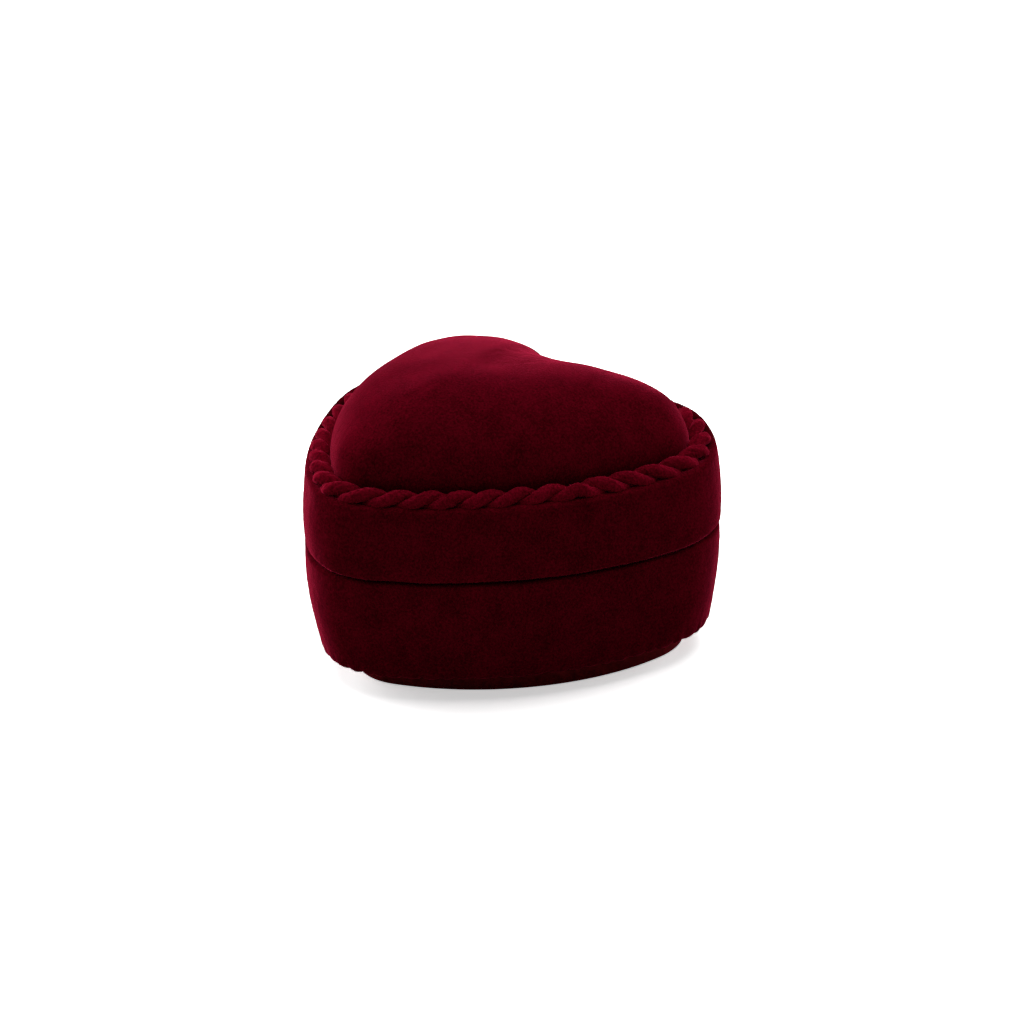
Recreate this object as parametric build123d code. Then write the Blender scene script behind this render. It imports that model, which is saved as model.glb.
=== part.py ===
"""Heart-shaped velvet ring box: padded crown, twisted cord trim and a snap hinge in the cleft."""
from build123d import *
import os
from math import atan2, cos, degrees, radians, sin, sqrt

# Heart outline at the widest level, a chain of tangent arcs
LOBE_RADIUS = 16.6
LOBE_SPACING = 26.8
TIP_SETBACK = 26.2
TIP_RADIUS = 13.9
SIDE_RADIUS = 48.5
CLEFT_RADIUS = 5.6

# Heights
FOOT_HEIGHT = 3.2
BASE_HEIGHT = 15.1
LID_WALL_HEIGHT = 11.1
CROWN_RISE = 13.0
SEAM_GAP = 0.3

# Walls and cloth
VELVET = 0.7
SHELL_WALL = 1.6
FLOOR = 1.6
TURN_IN = 4.0
TURN_UNDER = 6.5
RIM_INSET = 0.1
RIM_ROUND = 0.55
BASE_TUCK = 1.9
BASE_BELLY = 0.45
BASE_CORNER = 1.3
LID_TUCK = 0.5
LID_CORNER = 0.8
GLUE_GAP = 0.15

# Foot
FOOT_INSET = 5.4
FOOT_TIP_BACK = 1.4
FOOT_SIDE_FULLER = 8.3
FOOT_COVER = 0.4
FOOT_EDGE = 0.6

# Padded crown of the lid
CROWN_INSET = 4.2
CROWN_POWER = 0.325
CROWN_SETBACK = 13.6
CROWN_CLEFT_EASE = 30.0
CROWN_STEPS = (1.0, 0.992, 0.965, 0.91, 0.82, 0.7, 0.56, 0.42, 0.28, 0.14, 0.05)
CROWN_FOAM_SIDE = 1.4
CROWN_FOAM_TOP = 3.4
WADDING = 1.1
SATIN = 0.5
LINING_CARD = 0.6

# Twisted cord between the wall and the crown
CORD_RADIUS = 1.6
CORD_INSET = 2.55
CORD_SINK = 1.0
CORD_TWISTS = 20
CORD_LAY_TURN = 0.695
CORD_STEPS_PER_TWIST = 8
CORD_SIDES = 10
CORD_WAIST = 0.36
CORD_END_GAP = 0.6

# Ring pads in the base
PAD_BOARD = 1.0
PAD_CLEARANCE = 0.4
PAD_HEIGHT = 10.4
PAD_COVER = 0.5
PAD_ROUND = 2.4
PAD_CORNER = 2.6
SLOT_WIDTH = 1.2
SLOT_SETBACK = 11.0

# Hinge in the cleft
HINGE_SETBACK = 0.25
PIN_RADIUS = 0.5
PIN_HEAD = 0.35
PIN_PLAY = 0.05
LEAF_SHEET = 0.6
LID_LEAF_SHEET = 0.45
LEAF_WIDTH = 9.0
LEAF_CORNER = 1.0
FLANGE_DROP = 6.6
LID_KNUCKLE = 4.0
KNUCKLE_GAP = 0.2
SWING_GAP = 0.45
BLOCK_THICKNESS = 1.8
BLOCK_WIDTH = 11.0
NOTCH_GAP = 0.15
SPRING_SHEET = 0.35
SPRING_WIDTH = 3.2
SPRING_REACH = 0.6
RIVET_RADIUS = 0.55
RIVET_HEAD = 1.0
RIVET_HEAD_HEIGHT = 0.45
RIVET_DEPTH = 1.3
RIVET_EDGE = 1.5

# Levels and places that follow
KNUCKLE_RADIUS = PIN_RADIUS + LEAF_SHEET
LOBE_Y = (TIP_SETBACK + TIP_RADIUS - LOBE_RADIUS - HINGE_SETBACK - KNUCKLE_RADIUS) / 2
TIP_Y = LOBE_Y - TIP_SETBACK
FRONT_Y = TIP_Y - TIP_RADIUS
CROWN_Y = LOBE_Y - CROWN_SETBACK
HINGE_Y = LOBE_Y + LOBE_RADIUS + HINGE_SETBACK
CLEFT_CENTRE_Y = LOBE_Y + sqrt((LOBE_RADIUS + CLEFT_RADIUS) ** 2 - (LOBE_SPACING / 2) ** 2)
CLEFT_Y = CLEFT_CENTRE_Y - CLEFT_RADIUS
INNER_WALL = VELVET + SHELL_WALL
RIM_WIDTH = INNER_WALL + VELVET
BLOCK_FACE = CLEFT_Y - INNER_WALL - BLOCK_THICKNESS
SEAM_Z = FOOT_HEIGHT + BASE_HEIGHT
BASE_RIM_Z = SEAM_Z - SEAM_GAP / 2
LID_RIM_Z = SEAM_Z + SEAM_GAP / 2
WALL_TOP_Z = SEAM_Z + LID_WALL_HEIGHT
LEDGE_Z = WALL_TOP_Z - CORD_SINK
CEILING_Z = LEDGE_Z - VELVET - SHELL_WALL
CROWN_Z = LEDGE_Z + CROWN_RISE
FLOOR_Z = FOOT_HEIGHT + VELVET + FLOOR
PAD_Z = FLOOR_Z + PAD_BOARD
SLOT_Y = LOBE_Y - SLOT_SETBACK
TONGUE_Z = SEAM_Z - KNUCKLE_RADIUS
LID_KNUCKLE_RADIUS = PIN_RADIUS + PIN_PLAY + LID_LEAF_SHEET
LID_TONGUE_Z = SEAM_Z + LID_KNUCKLE_RADIUS
SPRING_Z = TONGUE_Z - SPRING_SHEET


def heart_wire(inset=0.0, scale=1.0, tip_back=0.0, side_fuller=0.0):
    """Seven tangent arcs from the middle of the tip round to it again.

    A scale under one draws the outline towards the crown's middle and eases its cleft.
    A tip drawn back makes a blunter heart, and a fuller side is more strongly curved.
    """
    lobe_radius = (LOBE_RADIUS - inset) * scale
    tip_radius = (TIP_RADIUS - inset) * scale
    side_radius = (SIDE_RADIUS - inset - side_fuller) * scale
    cleft_radius = (CLEFT_RADIUS + inset) * scale + CROWN_CLEFT_EASE * (1 - scale)
    lobe = Vector(LOBE_SPACING / 2 * scale, CROWN_Y + (LOBE_Y - CROWN_Y) * scale)
    tip = Vector(0, CROWN_Y + (TIP_Y + tip_back - CROWN_Y) * scale)

    # The side arc holds the lobe and tip arcs inside it
    to_lobe = side_radius - lobe_radius
    to_tip = side_radius - tip_radius
    span = tip - lobe
    along = (to_lobe**2 - to_tip**2 + span.length**2) / (2 * span.length)
    across = sqrt(to_lobe**2 - along**2)
    unit = span.normalized()
    side = lobe + unit * along + Vector(unit.Y, -unit.X) * across

    cleft = Vector(0, lobe.Y + sqrt((lobe_radius + cleft_radius) ** 2 - lobe.X**2))
    tip_end = degrees(atan2(tip.Y - side.Y, tip.X - side.X))
    side_end = degrees(atan2(lobe.Y - side.Y, lobe.X - side.X))
    lobe_end = degrees(atan2(cleft.Y - lobe.Y, cleft.X - lobe.X))

    def mirrored(point):
        return Vector(-point.X, point.Y)

    return Wire([
        CenterArc(tip, tip_radius, -90, tip_end + 90),
        CenterArc(side, side_radius, tip_end, side_end - tip_end),
        CenterArc(lobe, lobe_radius, side_end, lobe_end - side_end),
        CenterArc(cleft, cleft_radius, lobe_end - 180, 180 - 2 * lobe_end),
        CenterArc(mirrored(lobe), lobe_radius, 180 - lobe_end, lobe_end - side_end),
        CenterArc(mirrored(side), side_radius, 180 - side_end, side_end - tip_end),
        CenterArc(tip, tip_radius, 180 - tip_end, tip_end + 90),
    ])


def heart_face(inset=0.0, scale=1.0):
    return Face(heart_wire(inset, scale))


def heart_plate(inset, bottom, top):
    return Pos(0, 0, bottom) * extrude(heart_face(inset), top - bottom)


def foot_plate(inset, bottom, top):
    """A plate on the foot's own outline, blunter and fuller than the base above it."""
    outline = heart_wire(inset, tip_back=FOOT_TIP_BACK, side_fuller=FOOT_SIDE_FULLER)
    return Pos(0, 0, bottom) * extrude(Face(outline), top - bottom)


def heart_ring(section):
    """A section of inset and height, run round the whole outline."""
    return sweep(Plane.YZ * section, path=heart_wire())


def block(x_half, y_from, y_to, z_from, z_to):
    middle = Pos(0, (y_from + y_to) / 2, (z_from + z_to) / 2)
    return middle * Box(2 * x_half, y_to - y_from, z_to - z_from)


def inset_rect(inset_from, inset_to, bottom, top):
    middle = Pos(FRONT_Y + (inset_from + inset_to) / 2, (bottom + top) / 2)
    return middle * Rectangle(inset_to - inset_from, top - bottom)


def corner_nearest(section, inset, height):
    target = Vector(FRONT_Y + inset, height)
    return section.vertices().sort_by_distance(target)[0]


def walled_section(points, depth, corner, corner_radius):
    """Region inside a side arc through three points, closed at a depth from the outline."""
    first, middle, last = [(FRONT_Y + inset, height) for inset, height in points]
    deep = FRONT_Y + depth
    edges = [
        ThreePointArc(first, middle, last),
        Line(last, (deep, last[1])),
        Line((deep, last[1]), (deep, first[1])),
        Line((deep, first[1]), first),
    ]
    section = make_face(edges)
    if corner_radius > 0:
        section = fillet(corner_nearest(section, *corner), corner_radius)
    return section


def bellied_section(offset, depth, foot, rim, corner_radius):
    points = [
        (RIM_INSET + offset, rim),
        (BASE_BELLY + offset, (foot + rim) / 2),
        (BASE_TUCK + offset, foot),
    ]
    return walled_section(points, depth, points[2], corner_radius)


def base_section(offset, depth):
    """The base from its outside, less a skin of cloth."""
    return bellied_section(
        offset, depth, FOOT_HEIGHT + offset, BASE_RIM_Z - offset, BASE_CORNER - offset
    )


def cup_hollow(offset, depth):
    """The room inside the base, less a lining on its wall."""
    return bellied_section(INNER_WALL + offset, depth, FLOOR_Z, BASE_RIM_Z, 0)


def lid_section(offset, depth):
    rim = LID_RIM_Z + offset
    top = WALL_TOP_Z - offset
    points = [
        (RIM_INSET + offset, rim),
        (offset, (rim + top) / 2),
        (LID_TUCK + offset, top),
    ]
    return walled_section(points, depth, points[2], LID_CORNER - offset)


def cap_section(depth):
    """The moulded wall of the lid, flat on top under the cord's ledge."""
    below_ledge = inset_rect(0, depth, LID_RIM_Z, LEDGE_Z - VELVET)
    return lid_section(VELVET, depth) & below_ledge


def cord_seat(depth):
    """Room above the ledge, hollowed to the cord on its outer side."""
    hollow = Pos(FRONT_Y + CORD_INSET, LEDGE_Z + CORD_RADIUS) * Circle(CORD_RADIUS + GLUE_GAP)
    hollow += inset_rect(CORD_INSET, depth, LEDGE_Z, WALL_TOP_Z)
    return hollow & inset_rect(0, depth, LEDGE_Z, WALL_TOP_Z)


def dome(inset, base, top):
    """Crown over the outline: height follows (1 - scale squared) to a power."""
    rise = (top - base) / (1 - CROWN_STEPS[-1] ** 2) ** CROWN_POWER
    sections = []
    for scale in CROWN_STEPS:
        level = base + rise * (1 - scale**2) ** CROWN_POWER
        sections.append(Pos(0, 0, level) * heart_face(inset, scale))
    return loft(sections)


def hinge_block(outside, bottom, top):
    """Moulded boss with a flat face on the inner side of the cleft wall."""
    boss = block(BLOCK_WIDTH / 2, BLOCK_FACE, HINGE_Y, bottom, top)
    return boss & heart_ring(outside)


def hinge_notch(bottom, top, spring_bottom=None):
    """Way through the cleft wall for a hinge tongue and, below, for the spring."""
    half = LEAF_WIDTH / 2 + NOTCH_GAP
    notch = block(half, BLOCK_FACE - RIM_WIDTH, HINGE_Y, bottom, top)
    if spring_bottom is not None:
        spring_half = SPRING_WIDTH / 2 + NOTCH_GAP
        notch += block(spring_half, BLOCK_FACE - RIM_WIDTH, HINGE_Y, spring_bottom, top)
    return notch


def rivet_places(start, step):
    return [(0, start + step * RIVET_EDGE), (0, start + step * (FLANGE_DROP - RIVET_EDGE))]


def domed_rod(shank_radius, length, head_radius, head_height):
    """A rod along +Z from a domed head that stands below the origin."""
    ball = (head_radius**2 + head_height**2) / (2 * head_height)
    head = Pos(0, 0, ball - head_height) * Sphere(ball)
    head &= Pos(0, 0, -head_height / 2) * Cylinder(head_radius, head_height)
    return head + Pos(0, 0, length / 2) * Cylinder(shank_radius, length)


def rivets(places, face, grip):
    """Round-headed rivets whose shanks run into the moulded block."""
    rivet = Rot(-90, 0, 0) * domed_rod(
        RIVET_RADIUS, grip + RIVET_DEPTH, RIVET_HEAD, RIVET_HEAD_HEIGHT
    )
    return [Pos(x, face - grip, z) * rivet for x, z in places]


def rivet_holes(places, face, depth):
    """Holes from the face of a plate or block, through a depth."""
    holes = [
        Pos(x, face + depth / 2, z) * Rot(90, 0, 0) * Cylinder(RIVET_RADIUS, depth)
        for x, z in places
    ]
    return holes


def knuckle(x_from, x_to, bore, outer):
    tube = Cylinder(outer, x_to - x_from) - Cylinder(bore, x_to - x_from)
    return Pos((x_from + x_to) / 2, HINGE_Y, SEAM_Z) * Rot(0, 90, 0) * tube


def seat_cut(bottom, top):
    """Room that the soft lining and pads leave round the hinge block and its rivets."""
    front = BLOCK_FACE - LEAF_SHEET - RIVET_HEAD_HEIGHT - PAD_CLEARANCE
    return block(BLOCK_WIDTH / 2 + PAD_CLEARANCE, front, HINGE_Y, bottom, top)


# Foot: a board wrapped in dark cloth
foot_board = foot_plate(FOOT_INSET + FOOT_COVER, FOOT_COVER, FOOT_HEIGHT)
foot_body = foot_plate(FOOT_INSET, 0, FOOT_HEIGHT)
foot_cover = fillet(foot_body.faces().sort_by(Axis.Z)[0].edges(), FOOT_EDGE) - foot_board

# Base: moulded cup with its hinge block, covered in velvet turned in at the rim
under_edge = BASE_TUCK + TURN_UNDER
cup_depth = under_edge + SHELL_WALL
cup_outside = base_section(VELVET, cup_depth)
base_hinge_places = rivet_places(TONGUE_Z, -1)
base_shell = heart_ring(cup_outside - cup_hollow(0, cup_depth))
base_shell += heart_plate(under_edge, FOOT_HEIGHT + VELVET, FLOOR_Z)
base_shell += hinge_block(cup_outside, FLOOR_Z, TONGUE_Z)
base_shell -= hinge_notch(TONGUE_Z, SEAM_Z, SPRING_Z)
spring_pocket = block(
    SPRING_WIDTH / 2 + NOTCH_GAP,
    BLOCK_FACE,
    BLOCK_FACE + SPRING_SHEET,
    TONGUE_Z - FLANGE_DROP,
    SEAM_Z,
)
base_shell -= spring_pocket
base_shell -= rivet_holes(base_hinge_places, BLOCK_FACE, SPRING_SHEET + RIVET_DEPTH)

skin = base_section(0, under_edge) - base_section(VELVET, under_edge)
skin -= cup_hollow(VELVET, under_edge)
turned_in = cup_hollow(0, under_edge) - cup_hollow(VELVET, under_edge)
skin += turned_in & inset_rect(0, under_edge, BASE_RIM_Z - TURN_IN, BASE_RIM_Z)
rim_corners = [RIM_INSET, RIM_INSET + RIM_WIDTH]
skin = fillet([corner_nearest(skin, inset, BASE_RIM_Z) for inset in rim_corners], RIM_ROUND)
base_velvet = heart_ring(skin)
base_velvet -= hinge_notch(TONGUE_Z, SEAM_Z, SPRING_Z)
base_velvet -= seat_cut(FLOOR_Z, SEAM_Z) & heart_plate(INNER_WALL, FLOOR_Z, SEAM_Z)
base_filler_card = heart_plate(under_edge + GLUE_GAP, FOOT_HEIGHT, FOOT_HEIGHT + VELVET)

# Ring pads: a board with two velvet-covered foam rolls and the ring slot between them
pad_low_inset = INNER_WALL + BASE_TUCK + PAD_CLEARANCE
pad_top_inset = RIM_INSET + RIM_WIDTH + PAD_CLEARANCE
ring_pad_board = heart_plate(pad_low_inset, FLOOR_Z, PAD_Z) - seat_cut(FLOOR_Z, PAD_Z)


def ring_pad(direction, shrink):
    """One roll on the front or rear side of the slot, rounded over its top and corners."""
    top = PAD_Z + PAD_HEIGHT - shrink
    low = Pos(0, 0, PAD_Z) * heart_face(pad_low_inset + shrink)
    high = Pos(0, 0, top) * heart_face(pad_top_inset + shrink)
    roll = loft([low, high], ruled=True)
    edge = SLOT_Y + direction * (SLOT_WIDTH / 2 + shrink)
    reach = LOBE_SPACING + LOBE_RADIUS + TIP_SETBACK + TIP_RADIUS
    roll &= block(reach, *sorted((edge, edge + direction * reach)), PAD_Z, top)
    slot_face = roll.faces().filter_by(Axis.Y).sort_by(Axis.Y)[0 if direction > 0 else -1]
    upright = [one for one in slot_face.edges() if abs(one.tangent_at(0.5).Z) > 0.5]
    roll = fillet(upright, PAD_CORNER - shrink)
    roll = fillet(roll.faces().sort_by(Axis.Z)[-1].edges(), PAD_ROUND - shrink)
    return roll - Pos(0, -shrink, 0) * seat_cut(PAD_Z, top)


front_pad_foam = ring_pad(-1, PAD_COVER)
front_pad_cover = ring_pad(-1, 0) - front_pad_foam
rear_pad_foam = ring_pad(1, PAD_COVER)
rear_pad_cover = ring_pad(1, 0) - rear_pad_foam

# Lid: moulded cap with a ledge for the cord and a hollow crown
lid_hinge_places = rivet_places(LID_TONGUE_Z, 1)
shell_inset = CROWN_INSET + VELVET + CROWN_FOAM_SIDE
shell_top = CROWN_Z - VELVET - CROWN_FOAM_TOP
hollow_inset = shell_inset + SHELL_WALL
hollow_top = shell_top - SHELL_WALL
cap_outside = cap_section(hollow_inset)
cap_hollow = inset_rect(INNER_WALL, hollow_inset + SHELL_WALL, LID_RIM_Z, CEILING_Z)
lid_hollow = dome(hollow_inset, CEILING_Z, hollow_top)
lid_shell = heart_ring(cap_outside - cap_hollow)
lid_shell += dome(shell_inset, CEILING_Z, shell_top) - lid_hollow
lid_shell += hinge_block(cap_outside, LID_TONGUE_Z, CEILING_Z)
lid_shell -= hinge_notch(SEAM_Z, LID_TONGUE_Z)
lid_shell -= rivet_holes(lid_hinge_places, BLOCK_FACE, RIVET_DEPTH)

# Wall velvet, turned in at the rim and rolled over the ledge, where its edge holds the cord
ledge_edge = shell_inset - GLUE_GAP
band = lid_section(0, ledge_edge) - cap_section(ledge_edge) - cord_seat(ledge_edge)
band -= inset_rect(RIM_WIDTH, ledge_edge + VELVET, LID_RIM_Z - VELVET, CEILING_Z)
band += inset_rect(INNER_WALL, RIM_WIDTH, LID_RIM_Z, LID_RIM_Z + TURN_IN)
band = fillet(
    [corner_nearest(band, RIM_INSET, LID_RIM_Z), corner_nearest(band, RIM_WIDTH, LID_RIM_Z)],
    RIM_ROUND,
)
lid_wall_velvet = heart_ring(band)
lid_wall_velvet -= hinge_notch(SEAM_Z, LID_TONGUE_Z)
lid_wall_velvet -= seat_cut(SEAM_Z, CEILING_Z) & heart_plate(INNER_WALL, SEAM_Z, CEILING_Z)

# Crown: foam over the cap and a velvet cover tucked down behind the cord
crown_body = dome(CROWN_INSET + VELVET, LEDGE_Z, CROWN_Z - VELVET)
crown_velvet = dome(CROWN_INSET, LEDGE_Z, CROWN_Z) - crown_body
crown_foam = crown_body - dome(shell_inset, CEILING_Z, shell_top)

# Lining inside the lid: a strip on the wall, wadding and satin in the crown
strip_bottom = LID_RIM_Z + TURN_IN + GLUE_GAP
strip_top = CEILING_Z - SATIN - GLUE_GAP
lid_wall_lining = heart_ring(
    inset_rect(INNER_WALL, INNER_WALL + LINING_CARD, strip_bottom, strip_top)
) - seat_cut(strip_bottom, strip_top)
wadding_inset = hollow_inset + WADDING
lid_wadding = lid_hollow - dome(wadding_inset, CEILING_Z, hollow_top - WADDING)
satin_bottom = CEILING_Z - SATIN
satin_cup = dome(wadding_inset, CEILING_Z, hollow_top - WADDING)
satin_cup -= dome(wadding_inset + SATIN, CEILING_Z, hollow_top - WADDING - SATIN)
satin_flange = heart_plate(INNER_WALL + LINING_CARD, satin_bottom, CEILING_Z)
satin_flange -= heart_plate(wadding_inset + SATIN, satin_bottom, CEILING_Z)
lid_satin = satin_cup + satin_flange - seat_cut(satin_bottom, CEILING_Z)


def twisted_cord():
    """Two round plies twisted together, laid round the ledge and butted in the cleft.

    The twist was rolled in by hand, so its lay turns over once on the way round.
    """
    path = heart_wire(CORD_INSET)
    level = LEDGE_Z + CORD_RADIUS
    steps = CORD_TWISTS * CORD_STEPS_PER_TWIST
    turned = CORD_LAY_TURN * steps
    end_share = CORD_END_GAP / 2 / path.length
    sections = []
    for step in range(steps + 1):
        share = 0.5 + end_share + (1 - 2 * end_share) * step / steps
        place = path.position_at(share % 1)
        along = path.tangent_at(share % 1)
        plane = Plane((place.X, place.Y, level), x_dir=(-along.Y, along.X, 0), z_dir=along)
        turn = 360 * (abs(step - turned) - turned) / CORD_STEPS_PER_TWIST
        corners = []
        for side in range(CORD_SIDES):
            angle = 360 * side / CORD_SIDES
            radius = CORD_RADIUS * max(abs(cos(radians(angle))), CORD_WAIST)
            corners.append(plane.from_local_coords(Vector(radius, 0, 0).rotate(Axis.Z, angle + turn)))
        sections.append(Wire.make_polygon(corners, close=True))
    return Solid.make_loft(sections, ruled=True)


cord_trim = twisted_cord()

# Hinge: a leaf with two knuckles on the base and one with a middle knuckle on the lid
leaf_half = LEAF_WIDTH / 2
middle_half = LID_KNUCKLE / 2
arm_half = middle_half + KNUCKLE_GAP
swing = KNUCKLE_RADIUS + SWING_GAP

flange = block(leaf_half, BLOCK_FACE - LEAF_SHEET, BLOCK_FACE, TONGUE_Z - FLANGE_DROP, TONGUE_Z)
flange = fillet(flange.edges().filter_by(Axis.Y).group_by(Axis.Z)[0], LEAF_CORNER)
tongue = block(leaf_half, BLOCK_FACE - LEAF_SHEET, HINGE_Y, TONGUE_Z, TONGUE_Z + LEAF_SHEET)
hinge_leaf_base = flange + tongue
hinge_leaf_base -= block(arm_half, HINGE_Y - swing, HINGE_Y, TONGUE_Z, TONGUE_Z + LEAF_SHEET)
for knuckle_start in (-leaf_half, arm_half):
    knuckle_end = knuckle_start + leaf_half - arm_half
    bore = Pos(0, HINGE_Y, SEAM_Z) * Rot(0, 90, 0) * Cylinder(PIN_RADIUS, LEAF_WIDTH)
    hinge_leaf_base += knuckle(knuckle_start, knuckle_end, PIN_RADIUS, KNUCKLE_RADIUS)
    hinge_leaf_base -= bore
hinge_leaf_base -= rivet_holes(base_hinge_places, BLOCK_FACE - LEAF_SHEET, LEAF_SHEET)

lid_flange = block(
    leaf_half, BLOCK_FACE - LID_LEAF_SHEET, BLOCK_FACE, LID_TONGUE_Z, LID_TONGUE_Z + FLANGE_DROP
)
lid_flange = fillet(lid_flange.edges().filter_by(Axis.Y).group_by(Axis.Z)[-1], LEAF_CORNER)
lid_tongue_bottom = LID_TONGUE_Z - LID_LEAF_SHEET
wide_tongue = block(
    leaf_half, BLOCK_FACE - LID_LEAF_SHEET, HINGE_Y - swing, lid_tongue_bottom, LID_TONGUE_Z
)
hinge_leaf_lid = lid_flange + wide_tongue
hinge_leaf_lid += block(middle_half, BLOCK_FACE, HINGE_Y, lid_tongue_bottom, LID_TONGUE_Z)
hinge_leaf_lid += knuckle(-middle_half, middle_half, PIN_RADIUS + PIN_PLAY, LID_KNUCKLE_RADIUS)
hinge_leaf_lid -= (
    Pos(0, HINGE_Y, SEAM_Z) * Rot(0, 90, 0) * Cylinder(PIN_RADIUS + PIN_PLAY, LEAF_WIDTH)
)
hinge_leaf_lid -= rivet_holes(lid_hinge_places, BLOCK_FACE - LID_LEAF_SHEET, LID_LEAF_SHEET)

pin_half = Pos(-leaf_half, 0, 0) * Rot(0, 90, 0) * domed_rod(
    PIN_RADIUS, leaf_half, PIN_RADIUS, PIN_HEAD
)
hinge_pin = Pos(0, HINGE_Y, SEAM_Z) * (pin_half + mirror(pin_half, about=Plane.YZ))

# Snap spring: a bent strip held behind the base leaf, bearing under the middle knuckle
spring_half = SPRING_WIDTH / 2
snap_spring = block(
    spring_half, BLOCK_FACE, BLOCK_FACE + SPRING_SHEET, TONGUE_Z - FLANGE_DROP, TONGUE_Z
)
snap_spring += block(spring_half, BLOCK_FACE, HINGE_Y + SPRING_REACH, SPRING_Z, TONGUE_Z)
snap_spring -= rivet_holes(base_hinge_places, BLOCK_FACE, SPRING_SHEET)

base_rivets = rivets(base_hinge_places, BLOCK_FACE + SPRING_SHEET, LEAF_SHEET + SPRING_SHEET)
lid_rivets = rivets(lid_hinge_places, BLOCK_FACE, LID_LEAF_SHEET)

pieces = {
    "foot_board": foot_board,
    "foot_cover": foot_cover,
    "base_shell": base_shell,
    "base_velvet": base_velvet,
    "base_filler_card": base_filler_card,
    "ring_pad_board": ring_pad_board,
    "front_pad_foam": front_pad_foam,
    "front_pad_cover": front_pad_cover,
    "rear_pad_foam": rear_pad_foam,
    "rear_pad_cover": rear_pad_cover,
    "lid_shell": lid_shell,
    "lid_wall_velvet": lid_wall_velvet,
    "crown_foam": crown_foam,
    "crown_velvet": crown_velvet,
    "cord_trim": cord_trim,
    "lid_wall_lining": lid_wall_lining,
    "lid_wadding": lid_wadding,
    "lid_satin": lid_satin,
    "hinge_leaf_base": hinge_leaf_base,
    "hinge_leaf_lid": hinge_leaf_lid,
    "hinge_pin": hinge_pin,
    "snap_spring": snap_spring,
    "base_rivets": base_rivets,
    "lid_rivets": lid_rivets,
}

os.makedirs("parts", exist_ok=True)
for name, piece in pieces.items():
    if isinstance(piece, list):
        piece = Compound(children=piece)
    export_step(piece, f"parts/{name}.step")
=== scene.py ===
import bpy
import numpy as np
from mathutils import Matrix, Vector


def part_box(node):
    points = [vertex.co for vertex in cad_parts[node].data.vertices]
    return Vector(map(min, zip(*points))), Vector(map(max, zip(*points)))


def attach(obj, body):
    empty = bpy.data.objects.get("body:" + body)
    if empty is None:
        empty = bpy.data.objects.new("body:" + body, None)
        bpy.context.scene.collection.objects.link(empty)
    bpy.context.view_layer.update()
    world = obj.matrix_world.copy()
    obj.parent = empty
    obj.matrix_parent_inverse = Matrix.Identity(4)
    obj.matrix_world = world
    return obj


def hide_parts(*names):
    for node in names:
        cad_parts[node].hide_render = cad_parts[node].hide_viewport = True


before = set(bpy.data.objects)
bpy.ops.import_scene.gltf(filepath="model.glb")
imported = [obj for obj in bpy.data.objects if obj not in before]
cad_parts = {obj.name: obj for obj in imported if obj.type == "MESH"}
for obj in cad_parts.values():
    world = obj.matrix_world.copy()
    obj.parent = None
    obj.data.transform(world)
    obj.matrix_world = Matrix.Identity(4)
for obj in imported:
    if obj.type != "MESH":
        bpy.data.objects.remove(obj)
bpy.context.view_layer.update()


# Foot
# A heart-cut board stands under the box. It is wrapped in dark cotton cloth, drawn over the
# board's lower edge and glued on top, where the base hides the raw edges.
MM = 0.001
GRID = 0.3
LOBE_RADIUS = 16.6
LOBE_SPACING = 26.8
TIP_SETBACK = 26.2
TIP_RADIUS = 13.9
SIDE_RADIUS = 48.5
CLEFT_RADIUS = 5.6
CLEFT_EASE = 30.0
CROWN_SETBACK = 13.6
LOBE_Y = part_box("lid_wall_velvet")[1].y / MM - LOBE_RADIUS
CROWN_Y = LOBE_Y - CROWN_SETBACK
FOOT_INSET = 5.4
FOOT_FORM = {"tip_back": 1.4, "side_fuller": 8.3}
FOOT_CLOTH = 0.4
FOOT_EDGE = 0.6
FOOT_FLAT = FOOT_INSET + 2 * FOOT_EDGE
FOOT_TOP_ROUND = 0.15
FOOT_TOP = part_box("foot_cover")[1].z / MM
FOOT_PUCKER = 0.05
PUCKER_PASSES = 6
PLATE_SCALES = np.linspace(0.02, 0.98, 14)
CORNER_POINTS = 12
FOOT_THREADS = 18.0
# Painted light: both foot tones sit far above the cloth's own near-black red, to stand in for
# light that the shade under the base takes away.
FOOT_DARK_WITH_PAINTED_LIGHT = (0.092, 0.0040, 0.0062, 1)
FOOT_PALE_WITH_PAINTED_LIGHT = (0.240, 0.0105, 0.0160, 1)
FOOT_SHEEN = (0.7, 0.03, 0.07, 1)


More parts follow.
